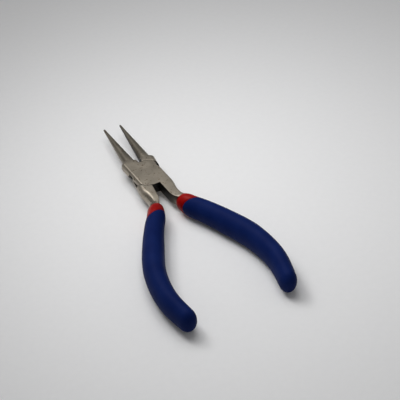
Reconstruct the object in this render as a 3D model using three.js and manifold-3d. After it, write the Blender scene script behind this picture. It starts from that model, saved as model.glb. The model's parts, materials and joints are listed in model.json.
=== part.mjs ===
// Round nose pliers for jewellery making: two forged halves in a lap joint on a flush rivet, each with
// a two-layer dipped grip. Millimetres, +Z up: the tool lies flat, jaws towards +Y, pivot axis along Z.
//
// Both halves are one forging. It is drawn as it stands when the tool is closed, with the pivot axis at
// the origin and the mid-plane at z = 0: its jaw left of centre, its lap plate in the upper layer and its
// shank right of centre. The lower half is the same forging turned over about the Y axis.
import * as THREE from 'three';
import { mergeVertices } from 'three/addons/utils/BufferGeometryUtils.js';
import Module from 'manifold-3d';

const wasm = await Module();
wasm.setup();

// Where the tool lies, and how far each half is turned from closed.
const PIVOT_Y = 22.63;
const MID_Z = 6;
const HALF_OPENING = THREE.MathUtils.degToRad(4.9);

// Head: the flat-ground block that holds the lap joint.
const HEAD_THICKNESS = 5.3;
const FACE_Z = HEAD_THICKNESS / 2;
const HEAD_HALF_WIDTH = 7.1;
const TOP_BEVEL = { width: 0.9, height: 1.1 };
const UNDER_BEVEL = { width: 1.5, height: 1.9 };
const HEAD_REAR_Y = -10.2;
const HEAD_REAR_EASE = 2.4;
const SHOULDER_Y = 12.7;
const SHOULDER_RADIUS = 1.9;
const SHOULDER_SLANT = 1.1;

// Lap joint: radii of the round plate towards the jaws and towards the handles, its clearances, and the
// small round notches in its sides, one through the plate and one under it that stops short of the top.
const LAP_FRONT_RADIUS = 8.5;
const LAP_REAR_RADIUS = 8.6;
const LAP_SIDE_CLEARANCE = 0.15;
const LAP_FACE_GAP = 0.1;
const NOTCH = { x: 7.4, y: 2.7, radius: 1.5, rise: 1.4 };

// Jaws: plain cones that lie side by side when closed.
const JAW_CLOSED_GAP = 0.1;
const JAW_TIP_Y = 41.3;
const JAW_TIP_RADIUS = 0.48;
const JAW_ROOT_Y = 7;
const JAW_HALF_ANGLE = THREE.MathUtils.degToRad(4.35);
const JAW_SIDES = 32;

// Rivet: countersunk and ground flush at both faces.
const RIVET_RADIUS = 1.9;
const RIVET_HEAD_RADIUS = 2.6;
const RIVET_HEAD_DEPTH = 0.7;
const RIVET_RIM = 0.1;
const RIVET_CLEARANCE = 0.06;
const RIVET_SIDES = 36;

// Shank: the bare steel between the head and the grip. It narrows to a waist and flares out again. Its
// outer side leans: at the lower face it starts from a ridge, and it runs outwards with height.
const SHANK_INNER_X = 1.15;
const SHANK_WAIST_X = 6;
const SHANK_WAIST_Y = -16.5;
const SHANK_WAIST_EASE = 3;
const SHANK_FLARE = 2.2;
const SHANK_END_Y = -21.1;
const SHANK_END_SLOPE = 0.05;
const SHANK_END_NARROWING = 1.8;
const SHANK_RIDGE = [[5.5, -22.2], [5.3, -19.4], [5.4, -17.2], [5.75, -15.4], [6.1, -13.6], [6.5, -11],
  [7, -7.6], [9, -1]];
const SHANK_SIDE_LEAN = 0.76;

// How far cutting shapes reach past the steel that they cut, the steps of a curve in an outline, and the
// distance below which two vertices are one.
const OVERRUN = 2;
const CURVE_STEPS = 16;
const SAME_POINT = 1e-5;

// Centre line of the handle in plan, from inside the shank to the end of the grip.
const HANDLE_LINE = [[3.6, -11], [3.75, -17.2], [4.8, -22.2], [6.1, -27.1], [8.9, -32.8], [12.7, -42.4],
  [17.3, -57.1], [17.8, -72.3], [13.4, -88.3]];
const centreLine = new THREE.CatmullRomCurve3(HANDLE_LINE.map(([x, y]) => new THREE.Vector3(x, y, 0)));
const LINE_END = centreLine.getLength();

// Red lip in front of the grip. The handles were dipped at a slant, so the layers end further back on the
// outer side: by LIP_SLANT mm per mm at the lip, by GRIP_SLANT at the front edge of the grip.
const LIP_START = 11.2;
const LIP_LENGTH = 6;
const LIP_SLANT = 0.3;
const GRIP_SLANT = 0.75;
const SLANT_FADE = 14;

const SECTION_SIDES = 20;
const SECTION_STEPS = 16;
const END_ROUND_STEPS = 4;

// Layers of the handle. Each runs from start to end, in mm along the centre line, with its half width in
// plan and its half height at evenly spaced stations, and with the length over which its ends round off.
const TANG = {
  start: 8.5, end: LINE_END - 5.6, startRound: 0.5, endRound: 1.5,
  halfWidth: [2.3, 2.25, 1.8, 1.4], halfHeight: [2.6, 2.6, 2.5, 2.1],
};
const INNER_BORE = {
  start: LIP_START - 2, end: LINE_END - 5.1, startRound: 0.5, endRound: 1.5,
  halfWidth: [2.7, 2.6, 2.2, 1.8], halfHeight: [3.1, 3.0, 2.9, 2.5],
};
const INNER_SKIN = {
  start: LIP_START, end: LINE_END - 3.9, startRound: 0.6, endRound: 2,
  halfWidth: [3.25, 3.35, 3.0, 2.5], halfHeight: [3.9, 3.9, 3.8, 3.3],
};
const LIP = {
  start: LIP_START, end: LIP_START + LIP_LENGTH, startRound: 1.4, endRound: 0.4,
  halfWidth: [3.45, 3.7, 3.9], halfHeight: [4.3, 4.85, 5.2],
};
const OUTER_BORE = {
  start: LIP_START, end: LINE_END - 3.4, startRound: 0.5, endRound: 2.2,
  halfWidth: [3.55, 3.65, 3.3, 2.8], halfHeight: [4.2, 4.2, 4.1, 3.6],
};
const OUTER_SKIN = {
  start: LIP_START + LIP_LENGTH + 0.3, end: LINE_END, startRound: 0.5, endRound: 3.8,
  halfWidth: [3.95, 4.62, 4.3, 3.5], halfHeight: [5.3, 5.925, 5.925, 5.35],
};

const STEEL = { color: 0x8b857b, roughness: 0.34, metalness: 1 };
const RIVET_STEEL = { color: 0x87827a, roughness: 0.3, metalness: 1 };
const RED_VINYL = { color: 0x9c1414, roughness: 0.42, metalness: 0 };
const BLUE_VINYL = { color: 0x101c56, roughness: 0.6, metalness: 0 };

// Turns a closed geometry into a solid, leaving out the slivers that collapse where vertices merge.
function solidFrom(geometry) {
  const bare = geometry.clone();
  bare.deleteAttribute('normal');
  bare.deleteAttribute('uv');
  const merged = mergeVertices(bare, SAME_POINT);
  const index = merged.index.array;
  const corners = [];
  for (let i = 0; i < index.length; i += 3) {
    const [a, b, c] = [index[i], index[i + 1], index[i + 2]];
    if (a !== b && b !== c && c !== a) corners.push(a, b, c);
  }
  return new wasm.Manifold(new wasm.Mesh({
    numProp: 3,
    vertProperties: new Float32Array(merged.attributes.position.array),
    triVerts: new Uint32Array(corners),
  }));
}

function meshFrom(name, solid, finish) {
  const { vertProperties, triVerts } = solid.getMesh();
  const geometry = new THREE.BufferGeometry();
  geometry.setAttribute('position', new THREE.BufferAttribute(vertProperties, 3));
  geometry.setIndex(new THREE.BufferAttribute(triVerts, 1));
  geometry.computeVertexNormals();
  const mesh = new THREE.Mesh(geometry, new THREE.MeshStandardMaterial(finish));
  mesh.name = name;
  return mesh;
}

// A plan outline made into a plate from zLow to zHigh, with an optional bevel on both faces.
function plate(shape, zLow, zHigh, bevel = { width: 0, height: 0 }) {
  const geometry = new THREE.ExtrudeGeometry(shape, {
    depth: zHigh - zLow - 2 * bevel.height,
    curveSegments: CURVE_STEPS,
    bevelEnabled: bevel.width > 0,
    bevelThickness: bevel.height,
    bevelSize: bevel.width,
    bevelOffset: -bevel.width,
    bevelSegments: 1,
  });
  geometry.translate(0, 0, zLow + bevel.height);
  return solidFrom(geometry);
}

// The outline that both halves share from outside: shoulders, head sides and the waists of the shanks.
function headEnvelope() {
  const shape = new THREE.Shape();
  const side = HEAD_HALF_WIDTH;
  const waist = SHANK_WAIST_X;
  const corner = SHOULDER_RADIUS;
  const end = SHANK_WAIST_X + SHANK_FLARE;
  const endY = SHANK_END_Y - OVERRUN;
  const easeY = HEAD_REAR_Y - HEAD_REAR_EASE;
  shape.moveTo(0, SHOULDER_Y);
  shape.lineTo(corner - side, SHOULDER_Y);
  shape.absarc(corner - side, SHOULDER_Y - corner, corner, Math.PI / 2, Math.PI, false);
  shape.lineTo(-side, HEAD_REAR_Y);
  shape.quadraticCurveTo(-waist, easeY, -waist, SHANK_WAIST_Y);
  shape.quadraticCurveTo(-waist, SHANK_WAIST_Y - SHANK_WAIST_EASE, -end, endY);
  shape.lineTo(-end, endY - OVERRUN);
  shape.lineTo(end, endY - OVERRUN);
  shape.lineTo(end, endY);
  shape.quadraticCurveTo(waist, SHANK_WAIST_Y - SHANK_WAIST_EASE, waist, SHANK_WAIST_Y);
  shape.quadraticCurveTo(waist, easeY, side, HEAD_REAR_Y);
  shape.lineTo(side, SHOULDER_Y - corner);
  shape.absarc(side - corner, SHOULDER_Y - corner, corner, 0, Math.PI / 2, false);
  return shape;
}

// The forging in plan: jaw block, lap plate and shank. The lap plate's rear edge cuts it free of the
// other half's shank on the left, and its front edge of the other half's jaw block on the right.
function forgingOutline() {
  const shape = new THREE.Shape();
  const beyond = HEAD_HALF_WIDTH + OVERRUN;
  const inner = -JAW_CLOSED_GAP / 2;
  const [front, rear] = [LAP_FRONT_RADIUS, LAP_REAR_RADIUS];
  const frontReach = Math.sqrt(front ** 2 - HEAD_HALF_WIDTH ** 2);
  const rearReach = Math.sqrt(rear ** 2 - HEAD_HALF_WIDTH ** 2);
  const rearLeft = Math.PI + Math.asin(rearReach / rear);
  const rearRight = 2 * Math.PI - Math.acos(SHANK_INNER_X / rear);
  const endX = SHANK_INNER_X + SHANK_END_NARROWING;
  shape.moveTo(inner, SHOULDER_Y - SHOULDER_SLANT);
  shape.lineTo(-beyond, SHOULDER_Y + SHOULDER_SLANT / 2);
  shape.lineTo(-beyond, -rearReach);
  shape.absarc(0, 0, rear, rearLeft, rearRight, false);
  shape.lineTo(SHANK_INNER_X, SHANK_WAIST_Y);
  shape.quadraticCurveTo(SHANK_INNER_X, SHANK_WAIST_Y - SHANK_WAIST_EASE, endX, SHANK_END_Y);
  shape.lineTo(beyond, SHANK_END_Y + (beyond - endX) * SHANK_END_SLOPE);
  shape.lineTo(beyond, frontReach);
  shape.absarc(0, 0, front, Math.asin(frontReach / front), Math.acos(inner / front), false);
  return shape;
}

// The space in the lower layer that the other half's lap plate turns in.
function lapSpace() {
  const front = new THREE.Shape();
  front.absarc(0, 0, LAP_FRONT_RADIUS + LAP_SIDE_CLEARANCE, 0, 2 * Math.PI, false);
  const rear = new THREE.Shape();
  rear.absarc(0, 0, LAP_REAR_RADIUS + LAP_SIDE_CLEARANCE, Math.PI, 2 * Math.PI, false);
  const [low, high] = [-FACE_Z - OVERRUN, LAP_FACE_GAP / 2];
  return plate(front, low, high).add(plate(rear, low, high));
}

function notches() {
  const right = new THREE.Shape();
  right.absarc(NOTCH.x, NOTCH.y, NOTCH.radius, 0, 2 * Math.PI, false);
  const left = new THREE.Shape();
  left.absarc(-NOTCH.x, NOTCH.y, NOTCH.radius, 0, 2 * Math.PI, false);
  return plate(right, 0, FACE_Z + OVERRUN).add(plate(left, -OVERRUN, NOTCH.rise));
}

// The part of the slab between the ground faces, left of the closing gap, where this half's jaw may be.
function jawSide() {
  const shape = new THREE.Shape();
  const inner = -JAW_CLOSED_GAP / 2;
  const outer = -HEAD_HALF_WIDTH;
  shape.moveTo(inner, JAW_ROOT_Y - OVERRUN);
  shape.lineTo(inner, JAW_TIP_Y + OVERRUN);
  shape.lineTo(outer, JAW_TIP_Y + OVERRUN);
  shape.lineTo(outer, JAW_ROOT_Y - OVERRUN);
  return plate(shape, -FACE_Z, FACE_Z);
}

// A cone whose inner side runs straight along the closing gap, trimmed by the ground faces of the head.
function jaw() {
  const length = (JAW_TIP_Y - JAW_ROOT_Y) / Math.cos(JAW_HALF_ANGLE);
  const rootRadius = JAW_TIP_RADIUS + length * Math.tan(JAW_HALF_ANGLE);
  const profile = [new THREE.Vector2(0, 0), new THREE.Vector2(rootRadius, 0)];
  for (let i = 0; i <= END_ROUND_STEPS; i++) {
    const angle = (Math.PI / 2) * (i / END_ROUND_STEPS);
    const radius = i < END_ROUND_STEPS ? JAW_TIP_RADIUS * Math.cos(angle) : 0;
    profile.push(new THREE.Vector2(radius, length + JAW_TIP_RADIUS * Math.sin(angle)));
  }
  const geometry = new THREE.LatheGeometry(profile, JAW_SIDES);
  geometry.rotateZ(-JAW_HALF_ANGLE);
  geometry.translate(-JAW_CLOSED_GAP / 2 - rootRadius / Math.cos(JAW_HALF_ANGLE), JAW_ROOT_Y, 0);
  return solidFrom(geometry).intersect(jawSide());
}

// What is cut away outside the shank: everything beyond the ridge, leaning outwards with height.
function shankSide() {
  const shape = new THREE.Shape();
  const beyond = SHANK_RIDGE.at(-1)[0] + OVERRUN;
  shape.moveTo(beyond, SHANK_RIDGE[0][1]);
  SHANK_RIDGE.forEach(([x, y]) => shape.lineTo(x, y));
  shape.lineTo(beyond, SHANK_RIDGE.at(-1)[1]);
  const geometry = new THREE.ExtrudeGeometry(shape, {
    depth: HEAD_THICKNESS + OVERRUN,
    bevelEnabled: false,
  });
  geometry.translate(0, 0, -OVERRUN);
  geometry.applyMatrix4(new THREE.Matrix4().makeShear(0, 0, 0, 0, SHANK_SIDE_LEAN, 0));
  geometry.translate(0, 0, -FACE_Z);
  return solidFrom(geometry);
}

// A value that runs smoothly through evenly spaced stations, at a place from 0 to 1.
function along(stations, place) {
  const curve = new THREE.SplineCurve(stations.map((value, i) => new THREE.Vector2(i, value)));
  return curve.getPoint(place).y;
}

// Profile of a bar of unit radius with both ends rounded, standing on the origin.
function roundedBar(length, startRound, endRound) {
  const profile = [];
  const quarter = (i) => (Math.PI / 2) * (i / END_ROUND_STEPS);
  for (let i = 0; i <= END_ROUND_STEPS; i++) {
    profile.push(new THREE.Vector2(Math.sin(quarter(i)), startRound * (1 - Math.cos(quarter(i)))));
  }
  const straight = length - startRound - endRound;
  for (let i = 1; i < SECTION_STEPS; i++) {
    profile.push(new THREE.Vector2(1, startRound + straight * (i / SECTION_STEPS)));
  }
  for (let i = END_ROUND_STEPS; i >= 0; i--) {
    profile.push(new THREE.Vector2(Math.sin(quarter(i)), length - endRound * (1 - Math.cos(quarter(i)))));
  }
  return profile;
}

// How far back the outer side lies, per mm of width, at a distance along the centre line.
function slantAt(distance) {
  const past = distance - LIP_START - LIP_LENGTH;
  if (past > 0) return GRIP_SLANT * Math.max(0, 1 - past / SLANT_FADE);
  return Math.min(GRIP_SLANT + (GRIP_SLANT - LIP_SLANT) * (past / LIP_LENGTH), GRIP_SLANT);
}

// A layer of the handle: an oval bar that follows the centre line, slanted around its lip.
function handleLayer({ start, end, startRound, endRound, halfWidth, halfHeight }) {
  const length = end - start;
  const geometry = new THREE.LatheGeometry(roundedBar(length, startRound, endRound), SECTION_SIDES);
  const position = geometry.attributes.position;
  for (let i = 0; i < position.count; i++) {
    const distance = start + position.getY(i);
    const place = Math.min(position.getY(i) / length, 1);
    const sideways = position.getX(i) * along(halfWidth, place);
    const upwards = position.getZ(i) * along(halfHeight, place);
    const u = Math.min((distance - slantAt(distance) * sideways) / LINE_END, 1);
    const centre = centreLine.getPointAt(u);
    const tangent = centreLine.getTangentAt(u);
    position.setXYZ(i, centre.x + tangent.y * sideways, centre.y - tangent.x * sideways, upwards);
  }
  return solidFrom(geometry);
}

// The countersunk rivet, or with a clearance the hole that it sits in.
function rivet(clearance) {
  const end = FACE_Z + clearance;
  const head = RIVET_HEAD_RADIUS + clearance;
  const neck = RIVET_RADIUS + clearance;
  const profile = [
    [0, -end], [head, -end], [head, RIVET_RIM - FACE_Z], [neck, RIVET_HEAD_DEPTH - FACE_Z],
    [neck, FACE_Z - RIVET_HEAD_DEPTH], [head, FACE_Z - RIVET_RIM], [head, end], [0, end],
  ];
  const points = profile.map(([radius, height]) => new THREE.Vector2(radius, height));
  const geometry = new THREE.LatheGeometry(points, RIVET_SIDES);
  geometry.rotateX(Math.PI / 2);
  return solidFrom(geometry);
}

function forging() {
  return plate(forgingOutline(), -FACE_Z, FACE_Z)
    .intersect(plate(headEnvelope(), -3 * FACE_Z, FACE_Z, TOP_BEVEL))
    .intersect(plate(headEnvelope(), -FACE_Z, 3 * FACE_Z, UNDER_BEVEL))
    .add(jaw())
    .subtract(lapSpace())
    .subtract(notches())
    .subtract(shankSide())
    .add(handleLayer(TANG))
    .subtract(rivet(RIVET_CLEARANCE));
}

// The red inner sleeve, thick at its open lip and thin where the outer grip covers it.
function innerSleeve() {
  return handleLayer(INNER_SKIN).add(handleLayer(LIP)).subtract(handleLayer(INNER_BORE));
}

function outerGrip() {
  return handleLayer(OUTER_SKIN).subtract(handleLayer(OUTER_BORE));
}

// One half of the tool with its sleeve and grip, turned open about the pivot.
function half(side) {
  const group = new THREE.Group();
  group.add(meshFrom(`${side}_half_forging`, forging(), STEEL));
  group.add(meshFrom(`${side}_inner_sleeve`, innerSleeve(), RED_VINYL));
  group.add(meshFrom(`${side}_outer_grip`, outerGrip(), BLUE_VINYL));
  group.rotation.z = HALF_OPENING;
  return group;
}

const lowerHalf = new THREE.Group();
lowerHalf.add(half('lower'));
lowerHalf.rotation.y = Math.PI;

const pliers = new THREE.Group();
pliers.add(half('upper'), lowerHalf, meshFrom('pivot_rivet', rivet(0), RIVET_STEEL));
pliers.position.set(0, PIVOT_Y, MID_Z);

export default pliers;
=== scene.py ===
"""Round nose pliers: detailed meshes, materials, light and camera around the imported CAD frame.

Shapes are worked out in millimetres in one half's own closed frame: the pivot axis is at the origin, the
mid-plane at z = 0, the jaw left of centre and the shank right of centre. Both halves share one forging.
"""

import json
import math

import bpy
import numpy as np
from mathutils import Matrix, Vector, noise


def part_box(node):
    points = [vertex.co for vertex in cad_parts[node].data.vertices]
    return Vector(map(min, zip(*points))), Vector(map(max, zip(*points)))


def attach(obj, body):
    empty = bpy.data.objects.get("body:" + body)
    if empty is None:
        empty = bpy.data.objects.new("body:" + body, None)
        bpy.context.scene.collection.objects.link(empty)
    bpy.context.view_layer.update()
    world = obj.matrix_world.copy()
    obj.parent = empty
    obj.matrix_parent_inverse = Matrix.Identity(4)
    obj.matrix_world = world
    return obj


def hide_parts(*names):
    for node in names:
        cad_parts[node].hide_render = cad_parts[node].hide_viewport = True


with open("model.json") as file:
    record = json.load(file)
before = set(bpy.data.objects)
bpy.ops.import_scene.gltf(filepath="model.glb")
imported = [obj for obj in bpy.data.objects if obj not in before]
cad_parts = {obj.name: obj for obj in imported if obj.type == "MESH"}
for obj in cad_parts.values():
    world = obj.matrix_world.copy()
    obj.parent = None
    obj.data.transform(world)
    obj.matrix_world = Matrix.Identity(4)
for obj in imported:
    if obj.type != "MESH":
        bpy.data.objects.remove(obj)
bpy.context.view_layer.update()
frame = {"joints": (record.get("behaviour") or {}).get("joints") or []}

MM = 0.001

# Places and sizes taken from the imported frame.
JOINT = frame["joints"][0]
PIVOT = np.array(JOINT["pos_m"]) / MM
HALF_OPENING = -math.radians(JOINT["range_deg"][0]) / 2
FORGING_BOX = np.array(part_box("upper_half_forging")) / MM
FACE_Z = (FORGING_BOX[1][2] - FORGING_BOX[0][2]) / 2
JAW_REACH = (FORGING_BOX[1][1] - PIVOT[1]) / math.cos(HALF_OPENING)

# Head and shank, in plan.
HEAD_HALF_WIDTH = 7.1
HEAD_REAR_Y = -10.2
HEAD_REAR_EASE = 1.5
SHOULDER_Y = 12.7
SHOULDER_DROP = 1.1
SHOULDER_SLANT = 0.18
SHOULDER_RADIUS = 1.9
SHANK_WAIST_X = 6.0
SHANK_WAIST_Y = -16.5
SHANK_FLARE = 2.2
SHANK_FLARE_RUN = 7.8
SHANK_INNER_X = 1.15
THROAT_FLARE = 1.8
THROAT_FLARE_RUN = 5
SHANK_END_Y = -21.3

# Lap joint.
LAP_FRONT_RADIUS = 8.5
LAP_REAR_RADIUS = 8.6
LAP_SIDE_CLEARANCE = 0.15
LAP_FACE_GAP = 0.1
NOTCH_X = 7.4
NOTCH_Y = 2.7
NOTCH_RADIUS = 1.5
NOTCH_RISE = 1.4

# Edges of the forging.
TOP_BEVEL_WIDTH = 0.9
TOP_BEVEL_HEIGHT = 1.1
TOP_BEVEL_ROUNDING = 0.3
UNDER_ROUNDING = 2.6
FACE_ROUNDING = 0.22
CUT_EDGE_ROUNDING = 0.1
SHANK_END_ROUNDING = 0.3
LAYER_EDGE_ROUNDING = 0.01

# The broad leaning side under each shank: where its ridge runs in plan, how far it leans per height, and
# how its rounding grows along the shank.
SHANK_RIDGE = [(5.45, -21.5), (5.3, -19.4), (5.4, -17.2), (5.75, -15.4), (6.1, -13.6), (6.5, -11),
               (7.0, -7.6), (9, -1)]
SHANK_SIDE_LEAN = 0.76
RIDGE_ROUNDING_FRONT = 0.8
RIDGE_ROUNDING_REAR = 2.4
RIDGE_FRONT_Y = -9.5
RIDGE_REAR_Y = -14

# Jaws.
JAW_CLOSED_GAP = 0.1
JAW_TIP_RADIUS = 0.48
JAW_ROOT_Y = 7.0
JAW_ROOT_ROUNDING = 0.5
JAW_HALF_ANGLE = math.radians(4.35)
JAW_FILLET = 1.1

# Tang inside the handle. TANG_SHORT, and its like below, is how far a layer stops before the line's end.
TANG_START = 8.5
TANG_SHORT = 5.6
TANG_HALF_WIDTHS = [2.35, 2.3, 1.8, 1.4]
TANG_HALF_HEIGHTS = [2.6, 2.6, 2.5, 2.1]
TANG_END_ROUNDING = 1.0
TANG_FACE_ROUNDING = 0.3
TANG_FILLET = 0.8

# Rivet: a neck in a straight bore, under thin heads that stand barely proud of both faces.
RIVET_BORE_RADIUS = 2.3
RIVET_BORE_ROUNDING = 0.02
RIVET_NECK_CLEARANCE = 0.02
RIVET_NECK_Z = 0.6
RIVET_HEAD_RADIUS = 2.6
RIVET_HEAD_CHAMFER = 0.06
RIVET_HEAD_RING = 0.6 * RIVET_HEAD_RADIUS
RIVET_HEAD_PROUD = 0.012
RIVET_RIM_PROUD = 0.002
RIVET_SHARP_ANGLE = math.radians(40)

# Centre line of a handle in plan, from inside the shank to the end of the grip.
HANDLE_LINE = [(3.6, -11), (3.75, -17.2), (4.8, -22.2), (6.1, -27.1), (8.9, -32.8), (12.7, -42.4),
               (17.3, -57.1), (17.8, -72.3), (13.4, -88.3)]

# Front edges of the dipped layers: distances along the line, and how far they slant across the handle.
LIP_START = 11.2
LIP_LENGTH = 6.0
LIP_SLANT = 0.3
GRIP_SLANT = 0.75
SLANT_FADE = 14.0

# Unevenness of the dipped layers, as a share of their size: each layer's noise starts at its own seed.
SKIN_UNEVENNESS = 0.012
SLEEVE_SEED = 3.1
GRIP_SEED = 7.7
SEED_STEP = 5

# Red sleeve: a thick lip in front, a thin skin under the grip, and the bore round the tang.
SLEEVE_SHORT = 3.9
SLEEVE_EDGE_WALL = 1.3
SLEEVE_EDGE_SIZE = (3.42, 4.2)
SLEEVE_SWELL_SIZE = (3.3, 4.1)
SLEEVE_SWELL_RUN = 2.2
SLEEVE_LIP_WIDTHS = [3.5, 3.78, 3.92, 3.95]
SLEEVE_LIP_HEIGHTS = [4.35, 4.95, 5.2, 5.25]
SLEEVE_STEP_SIZE = (3.6, 4.5)
SLEEVE_STEP_ENDS = (0.35, 0.8)
SLEEVE_SKIN_WIDTHS = [3.25, 3.35, 3.0, 2.5]
SLEEVE_SKIN_HEIGHTS = [3.9, 3.9, 3.8, 3.3]
SLEEVE_CAP = 2.0
SLEEVE_CAP_SIZE = (2.55, 3.35)
SLEEVE_BORE_WIDTHS = [2.55, 2.6, 2.3, 1.9]
SLEEVE_BORE_HEIGHTS = [2.95, 3.0, 2.9, 2.5]
SLEEVE_BORE_START = 1.2
SLEEVE_BORE_SHORT = 2.6
SLEEVE_BORE_CAP_SHORT = 2.4
SLEEVE_BORE_CAP = 1.4
SLEEVE_BORE_CAP_SIZE = (2.0, 2.8)

# Blue grip, starting a gap behind the sleeve's lip. Its inner cap is set back before the outer one's start.
GRIP_GAP = 0.2
GRIP_SHORT = 0.12
GRIP_HALF_WIDTHS = [3.98, 4.6, 4.28, 3.5]
GRIP_HALF_HEIGHTS = [5.3, 5.88, 5.88, 5.3]
GRIP_WALL = 0.8
GRIP_CAP = 3.9
GRIP_CAP_FULLNESS = 0.9
GRIP_INNER_SETBACK = 0.2 * GRIP_WALL

# Where the black forging oxide and painted shade lie: depths below the cut walls, their fading towards the
# grip, and at the faces.
SCALE_SHADE_DEPTHS = (-0.22, -0.08)
SCALE_SHADE_FADE_Y = (SHANK_END_Y, SHANK_WAIST_Y + 1)
SCALE_SHADE_AT_GRIP = 0.5
SCALE_SHADE_FACE_DEPTHS = (0.35, 0.1)
SCALE_SHADE_FACE_LOSS = 0.45

# Where the shank is worn: depths below its leaning side, and from where to where it begins, in plan.
POLISH_DEPTHS = (-1.9, -0.9)
POLISH_Y = (-11.5, -14)

# Finenesses of the meshes.
VOXEL = 0.2
RIVET_SIDES = 64
SLEEVE_EDGE_STEPS = 8
SLEEVE_LIP_STEPS = 12
SLEEVE_STEPS = 40
SLEEVE_CAP_STEPS = 5
SLEEVE_SIDES = 64
GRIP_EDGE_STEPS = 12
GRIP_STEPS = 72
GRIP_CAP_STEPS = 10
GRIP_SIDES = 72

# Colours and roughness ranges.
STEEL_DARK, STEEL_LIGHT = (0.322, 0.285, 0.232), (0.374, 0.332, 0.271)
# Jaw colour: darker, a painted dark reflection.
JAW_DARK_PAINTED_REFLECTION = (0.190, 0.169, 0.136)
PIT_BROWN = (0.14, 0.095, 0.065)
# Black of the cut walls: forging oxide, and painted shade in the throat and over the cut edges.
SCALE_AND_PAINTED_SHADE = (0.02, 0.02, 0.018)
RED_DARK, RED_LIGHT = (0.205, 0.001, 0.001), (0.27, 0.002, 0.0015)
BLUE_DARK, BLUE_LIGHT = (0.0025, 0.0095, 0.066), (0.0042, 0.0132, 0.081)
TABLE_DARK, TABLE_LIGHT = (0.745, 0.745, 0.75), (0.775, 0.775, 0.78)
STEEL_ROUGHNESS = (0.35, 0.50)
WORN_ROUGHNESS_DROP = 0.27
RED_ROUGHNESS = (0.36, 0.48)
BLUE_ROUGHNESS = (0.5, 0.62)
TABLE_ROUGHNESS = 0.6

# Lamps, in metres and watts. The two softboxes hang close above the tool and lean towards SOFTBOX_AIM.
SOFTBOX_AIM = (0.20, -0.064, 0)
LEFT_SOFTBOX = {"location": (-0.067, 0.063, 0.204), "target": SOFTBOX_AIM, "size": 0.107, "power": 0.183}
RIGHT_SOFTBOX = {"location": (0.023, 0.018, 0.204), "target": SOFTBOX_AIM, "size": 0.194, "power": 0.255}
FAR_LAMP = {"location": (-0.16, 0.37, 0.46), "target": (0, 0.02, 0), "size": 0.14, "power": 0.33}
WORLD_COLOUR = (0.93, 0.93, 0.93)
WORLD_STRENGTH = 0.29
TABLE_SIZE = 4

# Camera: place and clipping in metres, angles in radians, lens and sensor in millimetres.
CAMERA_PLACE = (-0.11271, -0.25763, 0.25235)
CAMERA_AZIMUTH = 0.45776
CAMERA_ELEVATION = 0.71294
CAMERA_ROLL = -0.01755
LENS = 79.15
SENSOR_WIDTH = 36
CLIP_START, CLIP_END = 0.01, 20


# ---------------------------------------------------------------- curves

LINE_SAMPLES = 161
SPAN_SAMPLES = 40
COARSE_STRIDE = 4


def smooth_line(points, samples):
    """A centripetal Catmull-Rom curve through the points, resampled to even arc length."""
    p = np.array(points, float)
    p = np.vstack([2 * p[0] - p[1], p, 2 * p[-1] - p[-2]])
    out = []
    for i in range(1, len(p) - 2):
        knots = [0.0]
        for a, b in zip(p[i - 1:i + 2], p[i:i + 3]):
            knots.append(knots[-1] + math.sqrt(np.linalg.norm(b - a)))
        t = np.linspace(knots[1], knots[2], SPAN_SAMPLES, endpoint=False)[:, None]
        k0, k1, k2, k3 = knots
        a1 = (k1 - t) / (k1 - k0) * p[i - 1] + (t - k0) / (k1 - k0) * p[i]
        a2 = (k2 - t) / (k2 - k1) * p[i] + (t - k1) / (k2 - k1) * p[i + 1]
        a3 = (k3 - t) / (k3 - k2) * p[i + 1] + (t - k2) / (k3 - k2) * p[i + 2]
        b1 = (k2 - t) / (k2 - k0) * a1 + (t - k0) / (k2 - k0) * a2
        b2 = (k3 - t) / (k3 - k1) * a2 + (t - k1) / (k3 - k1) * a3
        out.append((k2 - t) / (k2 - k1) * b1 + (t - k1) / (k2 - k1) * b2)
    dense = np.vstack(out + [p[-2][None]])
    length = np.concatenate([[0], np.cumsum(np.linalg.norm(np.diff(dense, axis=0), axis=1))])
    even = np.linspace(0, length[-1], samples)
    return np.stack([np.interp(even, length, dense[:, k]) for k in range(2)], 1), length[-1]


LINE, LINE_END = smooth_line(HANDLE_LINE, LINE_SAMPLES)
LINE_STEP = LINE_END / (len(LINE) - 1)


def line_at(s):
    """Points and unit tangents of the centre line at distances s."""
    at = np.clip(np.asarray(s, float), 0, LINE_END) / LINE_STEP
    k = np.arange(len(LINE))
    point = np.stack([np.interp(at, k, LINE[:, i]) for i in range(2)], -1)
    slope = np.gradient(LINE, axis=0)
    tangent = np.stack([np.interp(at, k, slope[:, i]) for i in range(2)], -1)
    return point, tangent / np.linalg.norm(tangent, axis=-1, keepdims=True)


def line_coordinates(x, y):
    """Distance along the centre line and signed offset from it, for places in plan."""
    nearest = np.full(np.broadcast(x, y).shape, np.inf)
    along, offset = np.zeros_like(nearest), np.zeros_like(nearest)
    coarse = LINE[::COARSE_STRIDE]
    for i in range(len(coarse) - 1):
        a, b = coarse[i], coarse[i + 1]
        span = np.linalg.norm(b - a)
        direction = (b - a) / span
        t = (x - a[0]) * direction[0] + (y - a[1]) * direction[1]
        # The first stretch also serves every place before the line's start.
        inside = np.clip(t, 0 if i else -np.inf, span)
        dx = x - a[0] - direction[0] * inside
        dy = y - a[1] - direction[1] * inside
        distance = dx * dx + dy * dy
        nearer = distance < nearest
        side = (x - a[0]) * direction[1] - (y - a[1]) * direction[0]
        nearest = np.where(nearer, distance, nearest)
        along = np.where(nearer, inside + i * COARSE_STRIDE * LINE_STEP, along)
        offset = np.where(nearer, np.sign(side) * np.sqrt(distance), offset)
    return along, offset


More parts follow.
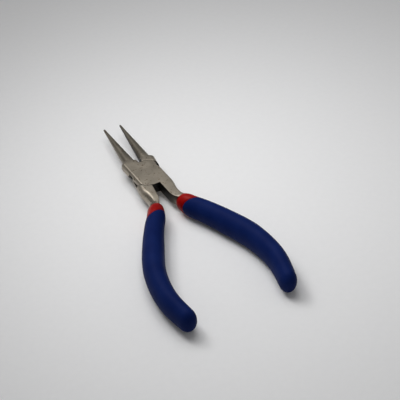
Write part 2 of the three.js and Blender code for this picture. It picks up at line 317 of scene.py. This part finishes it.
def stations(values, place):
    """A smooth value through evenly spaced stations, at places from 0 to 1."""
    values = np.asarray(values, float)
    t = np.clip(place, 0, 1) * (len(values) - 1)
    i = np.clip(t.astype(int), 0, len(values) - 2)
    f = t - i
    padded = np.concatenate([[2 * values[0] - values[1]], values, [2 * values[-1] - values[-2]]])
    p0, p1, p2, p3 = padded[i], padded[i + 1], padded[i + 2], padded[i + 3]
    return 0.5 * (2 * p1 + (p2 - p0) * f + (2 * p0 - 5 * p1 + 4 * p2 - p3) * f ** 2
                  + (3 * p1 - p0 - 3 * p2 + p3) * f ** 3)


# ---------------------------------------------------------------- distance fields

def round_max(a, b, r):
    """The common part of two fields, its edge rounded to radius r."""
    return np.minimum(-r, np.maximum(a, b)) + np.hypot(np.maximum(a + r, 0), np.maximum(b + r, 0))


def round_min(a, b, r):
    """Two fields joined, with a fillet of radius r."""
    return -round_max(-a, -b, r)


def ramp(value, start, end):
    """0 before start, 1 after end, smooth between."""
    t = np.clip((value - start) / (end - start), 0, 1)
    return t * t * (3 - 2 * t)


def head_sides(x, y):
    """Sides of the head and shank in plan, with the shoulders rounded."""
    widening = ramp(y, SHANK_WAIST_Y, HEAD_REAR_Y + HEAD_REAR_EASE)
    half = SHANK_WAIST_X + (HEAD_HALF_WIDTH - SHANK_WAIST_X) * widening
    half = half + SHANK_FLARE * np.clip((SHANK_WAIST_Y - y) / SHANK_FLARE_RUN, 0, 1) ** 2
    side = np.abs(x) - half
    front = y - (SHOULDER_Y - SHOULDER_DROP + SHOULDER_SLANT * np.abs(x))
    return round_max(side, front, SHOULDER_RADIUS)


def jaw_cone(x, y, z):
    """A round cone whose inner side runs straight along the closing gap."""
    tip_y = JAW_REACH - JAW_TIP_RADIUS
    length = (tip_y - JAW_ROOT_Y) / math.cos(JAW_HALF_ANGLE)
    root = JAW_TIP_RADIUS + length * math.sin(JAW_HALF_ANGLE)
    ax = -JAW_CLOSED_GAP / 2 - root / math.cos(JAW_HALF_ANGLE) + root * math.tan(JAW_HALF_ANGLE) ** 2
    dx, dy = math.sin(JAW_HALF_ANGLE), math.cos(JAW_HALF_ANGLE)
    t = (x - ax) * dx + (y - JAW_ROOT_Y) * dy
    away = np.hypot((x - ax) * dy - (y - JAW_ROOT_Y) * dx, z)
    slope = (root - JAW_TIP_RADIUS) / length
    level = math.sqrt(1 - slope * slope)
    k = -slope * away + level * t
    cone = away * level + t * slope - root
    tip = np.hypot(away, t - length) - JAW_TIP_RADIUS
    return np.where(k > level * length, tip, cone)


def plan_cuts(x, y, z):
    """The lap joint: a round plate in the upper layer, and the space for the other one in the lower."""
    r = np.hypot(x, y)
    plate_edge = r - np.where(y > 0, LAP_FRONT_RADIUS, LAP_REAR_RADIUS)
    jaw_side = round_max(x + JAW_CLOSED_GAP / 2, -y, LAYER_EDGE_ROUNDING)
    flare = THROAT_FLARE * np.clip((SHANK_WAIST_Y - y) / THROAT_FLARE_RUN, 0, 2) ** 2
    shank_inner = round_max(SHANK_INNER_X + flare - x, y, LAYER_EDGE_ROUNDING)
    upper = np.minimum(np.minimum(plate_edge, jaw_side), shank_inner)
    upper = round_max(upper, LAP_FACE_GAP / 2 - z, CUT_EDGE_ROUNDING)
    notch = NOTCH_RADIUS - np.hypot(np.abs(x) - NOTCH_X, y - NOTCH_Y)
    notch = np.where(x > 0, notch, np.minimum(notch, NOTCH_RISE - z))
    upper = round_max(upper, notch, CUT_EDGE_ROUNDING)
    front_space = LAP_FRONT_RADIUS + LAP_SIDE_CLEARANCE - r
    rear_space = LAP_REAR_RADIUS + LAP_SIDE_CLEARANCE - r
    jaw_side = round_max(jaw_side, front_space, CUT_EDGE_ROUNDING)
    shank_inner = round_max(shank_inner, rear_space, CUT_EDGE_ROUNDING)
    return np.minimum(upper, np.minimum(jaw_side, shank_inner))


def shank_side(x, y, z):
    """The broad leaning side under the shank: below zero on the side of the steel."""
    ridge = np.interp(y, [p[1] for p in SHANK_RIDGE], [p[0] for p in SHANK_RIDGE])
    return (x - ridge - SHANK_SIDE_LEAN * (z + FACE_Z)) / math.hypot(1, SHANK_SIDE_LEAN)


def tang_field(x, y, z):
    """The flat oval bar that runs inside the handle."""
    s, u = line_coordinates(x, y)
    end = LINE_END - TANG_SHORT
    half_width = stations(TANG_HALF_WIDTHS, s / end)
    half_height = stations(TANG_HALF_HEIGHTS, s / end)
    tang = (np.hypot(u / half_width, z / half_height) - 1) * half_width
    tang = round_max(tang, np.maximum(TANG_START - s, s - end), TANG_END_ROUNDING)
    return round_max(tang, z - FACE_Z, TANG_FACE_ROUNDING)


def forging_field(x, y, z):
    """Below zero inside the steel of one half."""
    top, under = z - FACE_Z, -z - FACE_Z
    sides = head_sides(x, y)
    block = round_max(sides, under, UNDER_ROUNDING)
    bevel = (sides + TOP_BEVEL_WIDTH) * TOP_BEVEL_HEIGHT + top * TOP_BEVEL_WIDTH
    bevel = bevel / math.hypot(TOP_BEVEL_WIDTH, TOP_BEVEL_HEIGHT)
    block = round_max(block, bevel, TOP_BEVEL_ROUNDING)
    jaw = round_max(jaw_cone(x, y, z), JAW_ROOT_Y - y, JAW_ROOT_ROUNDING)
    body = round_min(block, jaw, JAW_FILLET)
    body = round_max(body, top, FACE_ROUNDING)
    body = round_max(body, under, FACE_ROUNDING)
    body = round_max(body, plan_cuts(x, y, z), CUT_EDGE_ROUNDING)

    growth = ramp(y, RIDGE_FRONT_Y, RIDGE_REAR_Y)
    rounding = RIDGE_ROUNDING_FRONT + (RIDGE_ROUNDING_REAR - RIDGE_ROUNDING_FRONT) * growth
    body = round_max(body, shank_side(x, y, z), rounding)
    body = round_max(body, SHANK_END_Y - y, SHANK_END_ROUNDING)
    body = round_min(body, tang_field(x, y, z), TANG_FILLET)

    bore = RIVET_BORE_RADIUS - np.hypot(x, y)
    return round_max(body, bore, RIVET_BORE_ROUNDING)


def surface_net(field, low, high, step):
    """Quads round the zero level of a field, one vertex in each grid cell that it crosses."""
    axes = [np.arange(a, b + step, step) for a, b in zip(low, high)]
    gx, gy, gz = np.meshgrid(*axes, indexing="ij", sparse=True)
    values = field(gx, gy, gz)
    inside = values < 0
    shape = np.array(values.shape) - 1
    corners = [(i, j, k) for i in (0, 1) for j in (0, 1) for k in (0, 1)]

    def corner_view(c):
        return inside[c[0]:c[0] + shape[0], c[1]:c[1] + shape[1], c[2]:c[2] + shape[2]]

    count = sum(corner_view(c).astype(np.int8) for c in corners)
    active = (count > 0) & (count < len(corners))
    cells = np.argwhere(active)
    total, hits = np.zeros((len(cells), 3)), np.zeros((len(cells), 1))
    for a in corners:
        for axis in range(3):
            if a[axis]:
                continue
            b = list(a)
            b[axis] = 1
            va = values[tuple((cells + a).T)]
            vb = values[tuple((cells + b).T)]
            cross = (va < 0) != (vb < 0)
            t = np.where(cross, va / np.where(cross, va - vb, 1), 0)
            place = np.array(a, float) + np.eye(3)[axis] * t[:, None]
            total += place * cross[:, None]
            hits += cross[:, None]
    origin = np.array([axis[0] for axis in axes])
    points = origin + (cells + total / hits) * step
    number = np.full(shape, -1)
    number[active] = np.arange(len(cells))
    whole = tuple(slice(0, n) for n in shape)
    base = inside[whole]
    quads = []
    for axis in range(3):
        u, v = (axis + 1) % 3, (axis + 2) % 3
        ahead = np.roll(inside, -1, axis)[whole]
        edges = np.argwhere(base != ahead)
        edges = edges[(edges[:, u] > 0) & (edges[:, v] > 0)]
        if not len(edges):
            continue
        none, eu, ev = np.zeros(3, int), np.eye(3, dtype=int)[u], np.eye(3, dtype=int)[v]
        ring = np.stack([number[tuple((edges - d).T)] for d in (none, eu, eu + ev, ev)], 1)
        flip = ~base[tuple(edges.T)]
        ring[flip] = ring[flip][:, ::-1]
        quads.append(ring)
    return points, np.vstack(quads)


def settle(points, field, step, rounds=4):
    """Moves vertices onto the zero level of the field, at most half a step at a time."""
    e = step * 0.1
    least_slope = 0.25
    for _ in range(rounds):
        value = field(*points.T)
        slope = np.stack([(field(*(points + d).T) - field(*(points - d).T)) / (2 * e)
                          for d in np.eye(3) * e], 1)
        size = np.maximum((slope ** 2).sum(1), least_slope)
        move = -(value / size)[:, None] * slope
        reach = np.linalg.norm(move, axis=1, keepdims=True)
        points = points + move * np.minimum(1, step / 2 / np.maximum(reach, 1e-9))
    return points


# ---------------------------------------------------------------- placing pieces

def to_row(points, lower):
    """From a half's own closed frame in millimetres to the row frame in metres, at rest."""
    c, s = math.cos(HALF_OPENING), math.sin(HALF_OPENING)
    x = c * points[:, 0] - s * points[:, 1]
    y = s * points[:, 0] + c * points[:, 1]
    z = points[:, 2]
    if lower:
        x, z = -x, -z
    return (np.stack([x, y, z], 1) + PIVOT) * MM


def make_mesh(name, points, faces, material, body, node, smooth_angle=None):
    """A mesh object from row-frame points, riding on its body in place of its CAD node."""
    mesh = bpy.data.meshes.new(name)
    mesh.from_pydata(points.tolist(), [], [list(map(int, f)) for f in faces])
    mesh.validate()
    mesh.polygons.foreach_set("use_smooth", [True] * len(mesh.polygons))
    obj = bpy.data.objects.new(name, mesh)
    bpy.context.scene.collection.objects.link(obj)
    mesh.materials.append(material)
    if smooth_angle is not None:
        mesh.set_sharp_from_angle(angle=smooth_angle)
    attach(obj, body)
    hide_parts(node)
    return obj


def ring_faces(a, b, sides, flip=False):
    """Quads between two rings of vertex numbers, or triangles where one ring is a single vertex."""
    faces = []
    for i in range(sides):
        j = (i + 1) % sides
        face = [a[i % len(a)], a[j % len(a)], b[j % len(b)], b[i % len(b)]]
        if flip:
            face[1], face[3] = face[3], face[1]
        faces.append(list(dict.fromkeys(face)))
    return faces


def store_own_frame(obj, own):
    """Keeps each vertex's place in the half's own frame, in centimetres, for the materials."""
    attribute = obj.data.attributes.new("own", "FLOAT_VECTOR", "POINT")
    attribute.data.foreach_set("vector", (own * 0.1).astype(np.float32).ravel())


def store_value(obj, name, values):
    """Keeps one number for each vertex, for the materials."""
    attribute = obj.data.attributes.new(name, "FLOAT", "POINT")
    attribute.data.foreach_set("value", values.astype(np.float32))


# ---------------------------------------------------------------- materials

def node_material(name):
    """A new material, its node tree and its shader."""
    material = bpy.data.materials.new(name)
    material.use_nodes = True
    tree = material.node_tree
    return material, tree, tree.nodes["Principled BSDF"]


def add(tree, kind, **values):
    """A new node, with inputs or properties set by name."""
    node = tree.nodes.new(kind)
    for key, value in values.items():
        if key in node.inputs:
            node.inputs[key].default_value = value
        else:
            setattr(node, key, value)
    return node


def vertex_value(tree, name, output):
    """What the mesh keeps for each vertex under a name."""
    return add(tree, "ShaderNodeAttribute", attribute_name=name).outputs[output]


def noise_texture(tree, place, **values):
    """How strong a noise is at a place."""
    texture = add(tree, "ShaderNodeTexNoise", **values)
    tree.links.new(place, texture.inputs["Vector"])
    return texture.outputs["Fac"]


def colour_ramp(tree, source, low, low_colour, high, high_colour):
    """A colour that runs from one to another as the source rises from low to high."""
    node = add(tree, "ShaderNodeValToRGB")
    ends = node.color_ramp.elements
    for end, position, colour in zip(ends, (low, high), (low_colour, high_colour)):
        end.position = position
        end.color = (*colour, 1)
    tree.links.new(source, node.inputs["Fac"])
    return node.outputs["Color"]


def map_range(tree, source, from_range, to_range=(0, 1)):
    """The source, moved from one range to another and held there."""
    node = add(tree, "ShaderNodeMapRange")
    for name, value in zip(("From Min", "From Max", "To Min", "To Max"), (*from_range, *to_range)):
        node.inputs[name].default_value = value
    tree.links.new(source, node.inputs["Value"])
    return node.outputs["Result"]


def blend_colour(tree, factor, under, colour):
    """A colour laid over another by a factor."""
    node = add(tree, "ShaderNodeMix", data_type="RGBA")
    node.inputs["B"].default_value = (*colour, 1)
    tree.links.new(factor, node.inputs["Factor"])
    tree.links.new(under, node.inputs["A"])
    return node.outputs["Result"]


def multiply_add(tree, source, factor, term):
    """The source times a factor, plus a term."""
    node = add(tree, "ShaderNodeMath", operation="MULTIPLY_ADD")
    node.inputs[1].default_value = factor
    tree.links.new(source, node.inputs[0])
    tree.links.new(term, node.inputs[2])
    return node.outputs["Value"]


def bump(tree, height, strength, distance):
    """A bumped normal."""
    node = add(tree, "ShaderNodeBump", Strength=strength)
    node.inputs["Distance"].default_value = distance
    tree.links.new(height, node.inputs["Height"])
    return node.outputs["Normal"]


def steel_material():
    """Satin steel with grinding lines, pits, worn shank sides, jaws painted darker as a dark reflection,
    and black forging oxide with painted shade on the cut walls.
    """
    material, tree, shader = node_material("satin_steel")
    link = tree.links.new
    own = vertex_value(tree, "own", "Vector")
    shader.inputs["Metallic"].default_value = 1.0

    blotch = noise_texture(tree, own, Scale=3.0, Detail=4.0, Roughness=0.55)
    colour = colour_ramp(tree, blotch, 0.3, STEEL_DARK, 0.72, STEEL_LIGHT)

    # The jaws are painted darker and browner than the head: a painted dark reflection of the dimmer
    # surroundings that the round jaws mirror.
    split = add(tree, "ShaderNodeSeparateXYZ")
    link(own, split.inputs["Vector"])
    forward = map_range(tree, split.outputs["Y"], (0.9, 1.5), (0, 0.8))
    colour = blend_colour(tree, forward, colour, JAW_DARK_PAINTED_REFLECTION)

    # Brownish pits and stains.
    speck = noise_texture(tree, own, Scale=8.0, Detail=3.0, Roughness=0.6)
    colour = blend_colour(tree, map_range(tree, speck, (0.61, 0.665)), colour, PIT_BROWN)

    # Black on the walls of the lap and the throat: forging oxide, with painted shade that is deepest in the
    # throat and dims the bright cut edges.
    colour = blend_colour(tree, vertex_value(tree, "scale_and_shade", "Fac"), colour, SCALE_AND_PAINTED_SHADE)
    link(colour, shader.inputs["Base Color"])

    # The leaning side of the shank is worn brighter.
    rough = map_range(tree, blotch, (0.25, 0.75), STEEL_ROUGHNESS)
    rough = multiply_add(tree, vertex_value(tree, "polish", "Fac"), -WORN_ROUGHNESS_DROP, rough)
    link(rough, shader.inputs["Roughness"])

    # Lines from grinding along the tool, and a fine grain.
    stretch = add(tree, "ShaderNodeMapping")
    stretch.inputs["Scale"].default_value = (60, 3, 60)
    link(own, stretch.inputs["Vector"])
    brush = noise_texture(tree, stretch.outputs["Vector"], Scale=2.0, Detail=3.0, Roughness=0.6)
    grain = noise_texture(tree, own, Scale=45.0, Detail=2.0)
    height = multiply_add(tree, brush, 0.5, grain)
    link(bump(tree, height, strength=0.12, distance=0.00004), shader.inputs["Normal"])
    return material


def vinyl_material(name, dark, light, roughness, grain_size, shine):
    """Dipped vinyl, slightly cloudy and grained."""
    material, tree, shader = node_material(name)
    link = tree.links.new
    own = vertex_value(tree, "own", "Vector")
    cloud = noise_texture(tree, own, Scale=1.6, Detail=3.0)
    link(colour_ramp(tree, cloud, 0.32, dark, 0.7, light), shader.inputs["Base Color"])
    grain = noise_texture(tree, own, Scale=grain_size, Detail=2.0)
    link(map_range(tree, grain, (0, 1), roughness), shader.inputs["Roughness"])
    link(bump(tree, grain, strength=0.5, distance=0.00003), shader.inputs["Normal"])
    shader.inputs["Specular IOR Level"].default_value = shine
    return material


STEEL = steel_material()
RED = vinyl_material("red_vinyl", RED_DARK, RED_LIGHT, RED_ROUGHNESS, grain_size=14.0, shine=0.10)
BLUE = vinyl_material("blue_vinyl", BLUE_DARK, BLUE_LIGHT, BLUE_ROUGHNESS, grain_size=40.0, shine=0.04)


# ---------------------------------------------------------------- forgings

# The box searched for the forging's surface, in its own frame.
MARGIN = 0.7
FORGING_LOW = (-8.2, -87.0, -FACE_Z - MARGIN)
FORGING_HIGH = (20.0, JAW_REACH + MARGIN, FACE_Z + MARGIN)


def scale_and_shade_amount(x, y, z):
    """How black the cut walls are painted, as forging oxide and painted shade: full on the cut walls, less
    near the grip and at the ground faces.
    """
    on_wall = ramp(plan_cuts(x, y, z), *SCALE_SHADE_DEPTHS)
    near_head = ramp(y, *SCALE_SHADE_FADE_Y)
    at_face = ramp(np.abs(z), *(FACE_Z - depth for depth in SCALE_SHADE_FACE_DEPTHS))
    return on_wall * (SCALE_SHADE_AT_GRIP + (1 - SCALE_SHADE_AT_GRIP) * near_head) * (1 - SCALE_SHADE_FACE_LOSS * at_face)


def polish_amount(x, y, z):
    """How worn the steel is: bright on the leaning side of the shank, behind the head."""
    on_side = ramp(shank_side(x, y, z), *POLISH_DEPTHS)
    behind_head = ramp(y, *POLISH_Y)
    return on_side * behind_head


forging_points, forging_quads = surface_net(forging_field, FORGING_LOW, FORGING_HIGH, VOXEL)
forging_points = settle(forging_points, forging_field, VOXEL)
# Forging oxide and painted shade for each vertex.
forging_scale_and_shade = scale_and_shade_amount(*forging_points.T)
forging_polish = polish_amount(*forging_points.T)


def add_forging(side):
    obj = make_mesh(f"{side}_forged_half", to_row(forging_points, side == "lower"), forging_quads, STEEL,
                    f"{side}_half", f"{side}_half_forging")
    store_own_frame(obj, forging_points)
    store_value(obj, "scale_and_shade", forging_scale_and_shade)
    store_value(obj, "polish", forging_polish)


# ---------------------------------------------------------------- rivet

def lathe(profile, sides):
    """Points and faces of a closed profile turned about the z axis."""
    points, rings = [], []
    for radius, height in profile:
        count = sides if radius else 1
        rings.append(list(range(len(points), len(points) + count)))
        for i in range(count):
            angle = 2 * math.pi * i / sides
            points.append((radius * math.cos(angle), radius * math.sin(angle), height))
    faces = [face for a, b in zip(rings, rings[1:]) for face in ring_faces(a, b, sides)]
    return np.array(points, float), faces


def add_rivet():
    top, rim = FACE_Z + RIVET_HEAD_PROUD, FACE_Z + RIVET_RIM_PROUD
    neck = RIVET_BORE_RADIUS - RIVET_NECK_CLEARANCE
    half = [(0, top), (RIVET_HEAD_RING, top), (RIVET_HEAD_RADIUS - RIVET_HEAD_CHAMFER, top),
            (RIVET_HEAD_RADIUS, rim), (neck, rim), (neck, RIVET_NECK_Z)]
    profile = [(r, -z) for r, z in half] + half[::-1]
    points, faces = lathe(profile, RIVET_SIDES)
    obj = make_mesh("rivet", (points + PIVOT) * MM, faces, STEEL, "lower_half", "pivot_rivet",
                    smooth_angle=RIVET_SHARP_ANGLE)
    store_own_frame(obj, points)


# ---------------------------------------------------------------- dipped handles

def wobble(s, angle, seed):
    """A slow unevenness between -1 and 1 that joins up round the section."""
    ring, pace = 1.3, 0.12
    return noise.noise(Vector((ring * math.cos(angle) + seed, ring * math.sin(angle), s * pace)))


def section_point(s, angle, half_width, half_height, seed):
    """A point of an oval section square to the centre line, slanted near the front edges."""
    swell = 1 + SKIN_UNEVENNESS * wobble(s, angle, seed)
    side = half_width * swell * math.cos(angle)
    up = half_height * swell * math.sin(angle)
    slant = np.interp(s, [LIP_START, LIP_START + LIP_LENGTH, LIP_START + LIP_LENGTH + SLANT_FADE],
                      [LIP_SLANT, GRIP_SLANT, 0])
    point, tangent = line_at(s - slant * side)
    return (point[0] + tangent[1] * side, point[1] - tangent[0] * side, up)


def shell(profile, sides, seed):
    """A closed skin along the handle. The profile lists (s, half width, half height) from the front edge
    over the outside to the closed end and back inside to the front edge, where it closes on itself."""
    points, rows = [], []
    for s, half_width, half_height in profile:
        count = sides if half_width > 1e-6 else 1
        rows.append(list(range(len(points), len(points) + count)))
        for i in range(count):
            points.append(section_point(s, 2 * math.pi * i / sides, half_width, half_height, seed))
    pairs = zip(rows, rows[1:] + rows[:1])
    faces = [face for a, b in pairs for face in ring_faces(a, b, sides, flip=True)]
    return np.array(points, float), faces


def half_sizes(widths, heights, place):
    """Half width and half height of a section at a place from 0 to 1."""
    place = np.array(place)
    return float(stations(widths, place)), float(stations(heights, place))


def edge_rows(start, wall, size, steps):
    """Rows over the half-round front edge of a layer, from the inside to the outside."""
    rows = []
    for i in range(steps + 1):
        angle = math.pi * i / steps
        s = start + wall / 2 * (1 - math.sin(angle))
        half_width, half_height = size(s)
        inset = wall / 2 * (1 + math.cos(angle))
        rows.append((s, half_width - inset, half_height - inset))
    return rows


def cap_rows(start, length, size, steps, fullness=1.0):
    """Rows that close the end of a layer down to a point."""
    rows = []
    for i in range(1, steps + 1):
        angle = math.pi / 2 * i / steps
        s = start + length * math.sin(angle)
        half_width, half_height = size(s)
        shrink = math.cos(angle) ** fullness if i < steps else 0.0
        rows.append((s, half_width * shrink, half_height * shrink))
    return rows


def body_rows(start, end, size, steps):
    """Evenly spaced rows from start to end, both included."""
    places = [start + (end - start) * i / steps for i in range(steps + 1)]
    return [(s, *size(s)) for s in places]


def grip_profile():
    """The blue layer: a rounded front edge, an even wall and a round closed end."""
    start, end = LIP_START + LIP_LENGTH + GRIP_GAP, LINE_END - GRIP_SHORT
    tail = end - GRIP_CAP
    inner_tail = tail - GRIP_INNER_SETBACK
    inner_cap = end - GRIP_WALL - inner_tail
    front = start + GRIP_WALL / 2

    def outer_size(s):
        return half_sizes(GRIP_HALF_WIDTHS, GRIP_HALF_HEIGHTS, (min(s, end) - start) / (end - start))

    def inner_size(s):
        half_width, half_height = outer_size(s)
        return half_width - GRIP_WALL, half_height - GRIP_WALL

    edge = edge_rows(start, GRIP_WALL, outer_size, GRIP_EDGE_STEPS)
    foremost = GRIP_EDGE_STEPS // 2
    outer = body_rows(front, tail, outer_size, GRIP_STEPS)[1:]
    outer += cap_rows(tail, GRIP_CAP, outer_size, GRIP_CAP_STEPS, GRIP_CAP_FULLNESS)
    inner = body_rows(front, inner_tail, inner_size, GRIP_STEPS)
    inner += cap_rows(inner_tail, inner_cap, inner_size, GRIP_CAP_STEPS, GRIP_CAP_FULLNESS)
    return edge[foremost:] + outer + inner[::-1] + edge[1:foremost]


def sleeve_profile():
    """The red layer: a thick soft lip in front, thin under the outer grip."""
    end = LINE_END - SLEEVE_SHORT
    lip_end = LIP_START + LIP_LENGTH
    front = LIP_START + SLEEVE_EDGE_WALL / 2

    def lip_size(s):
        swell = math.sqrt(min(1, (s - LIP_START) / SLEEVE_SWELL_RUN))
        sizes = half_sizes(SLEEVE_LIP_WIDTHS, SLEEVE_LIP_HEIGHTS, (s - LIP_START) / LIP_LENGTH)
        return [least + (full - least) * swell for least, full in zip(SLEEVE_SWELL_SIZE, sizes)]

    def skin_size(s):
        return half_sizes(SLEEVE_SKIN_WIDTHS, SLEEVE_SKIN_HEIGHTS, (s - LIP_START) / (end - LIP_START))

    def bore_size(s):
        return half_sizes(SLEEVE_BORE_WIDTHS, SLEEVE_BORE_HEIGHTS, (s - LIP_START) / (end - LIP_START))

    rows = edge_rows(LIP_START, SLEEVE_EDGE_WALL, lambda s: SLEEVE_EDGE_SIZE, SLEEVE_EDGE_STEPS)
    rows += body_rows(front, lip_end, lip_size, SLEEVE_LIP_STEPS)[1:]
    rows.append((lip_end + SLEEVE_STEP_ENDS[0], *SLEEVE_STEP_SIZE))
    rows += body_rows(lip_end + SLEEVE_STEP_ENDS[1], end - SLEEVE_CAP, skin_size, SLEEVE_STEPS)
    rows += cap_rows(end - SLEEVE_CAP, SLEEVE_CAP, lambda s: SLEEVE_CAP_SIZE, SLEEVE_CAP_STEPS)
    bore = body_rows(LIP_START + SLEEVE_BORE_START, end - SLEEVE_BORE_SHORT, bore_size, SLEEVE_STEPS)
    bore += cap_rows(end - SLEEVE_BORE_CAP_SHORT, SLEEVE_BORE_CAP, lambda s: SLEEVE_BORE_CAP_SIZE,
                     SLEEVE_CAP_STEPS)
    return rows + bore[::-1]


def add_sleeve(side, seed):
    points, faces = shell(sleeve_profile(), SLEEVE_SIDES, seed)
    obj = make_mesh(f"{side}_red_sleeve", to_row(points, side == "lower"), faces, RED,
                    f"{side}_half", f"{side}_inner_sleeve")
    store_own_frame(obj, points)


def add_grip(side, seed):
    points, faces = shell(grip_profile(), GRIP_SIDES, seed)
    obj = make_mesh(f"{side}_blue_grip", to_row(points, side == "lower"), faces, BLUE,
                    f"{side}_half", f"{side}_outer_grip")
    store_own_frame(obj, points)


for number, side in enumerate(("upper", "lower")):
    add_forging(side)
    add_sleeve(side, SLEEVE_SEED + SEED_STEP * number)
    add_grip(side, GRIP_SEED + SEED_STEP * number)
add_rivet()


# ---------------------------------------------------------------- stage, light, camera

def add_floor():
    bpy.ops.mesh.primitive_plane_add(size=TABLE_SIZE, location=(0, 0, 0))
    floor = bpy.context.object
    floor.name = "floor"
    material, tree, shader = node_material("pale_table")
    place = add(tree, "ShaderNodeNewGeometry").outputs["Position"]
    grain = noise_texture(tree, place, Scale=400.0, Detail=2.0)
    colour = colour_ramp(tree, grain, 0, TABLE_DARK, 1, TABLE_LIGHT)
    tree.links.new(colour, shader.inputs["Base Color"])
    shader.inputs["Roughness"].default_value = TABLE_ROUGHNESS
    floor.data.materials.append(material)


def add_lamp(name, location, target, size, power):
    light = bpy.data.lights.new(name, "AREA")
    light.shape = "DISK"
    light.size = size
    light.energy = power
    obj = bpy.data.objects.new(name, light)
    obj.location = location
    obj.rotation_euler = (Vector(target) - Vector(location)).to_track_quat("-Z", "Y").to_euler()
    bpy.context.scene.collection.objects.link(obj)


def add_world():
    world = bpy.data.worlds.new("studio")
    bpy.context.scene.world = world
    world.use_nodes = True
    background = world.node_tree.nodes["Background"]
    background.inputs["Color"].default_value = (*WORLD_COLOUR, 1)
    background.inputs["Strength"].default_value = WORLD_STRENGTH


def add_camera():
    data = bpy.data.cameras.new("camera")
    data.lens = LENS
    data.sensor_width = SENSOR_WIDTH
    data.clip_start = CLIP_START
    data.clip_end = CLIP_END
    camera = bpy.data.objects.new("camera", data)
    bpy.context.scene.collection.objects.link(camera)
    a, e = CAMERA_AZIMUTH, CAMERA_ELEVATION
    forward = Vector((math.sin(a) * math.cos(e), math.cos(a) * math.cos(e), -math.sin(e)))
    right = Vector((math.cos(a), -math.sin(a), 0))
    up = right.cross(forward)
    c, s = math.cos(CAMERA_ROLL), math.sin(CAMERA_ROLL)
    axis_x, axis_y = c * right + s * up, -s * right + c * up
    turn = Matrix((axis_x, axis_y, -forward)).transposed()
    camera.matrix_world = Matrix.Translation(CAMERA_PLACE) @ turn.to_4x4()
    bpy.context.scene.camera = camera


add_floor()
add_world()
add_lamp("left_softbox", **LEFT_SOFTBOX)
add_lamp("right_softbox", **RIGHT_SOFTBOX)
add_lamp("far_lamp", **FAR_LAMP)
add_camera()
bpy.context.scene.view_settings.view_transform = "Standard"
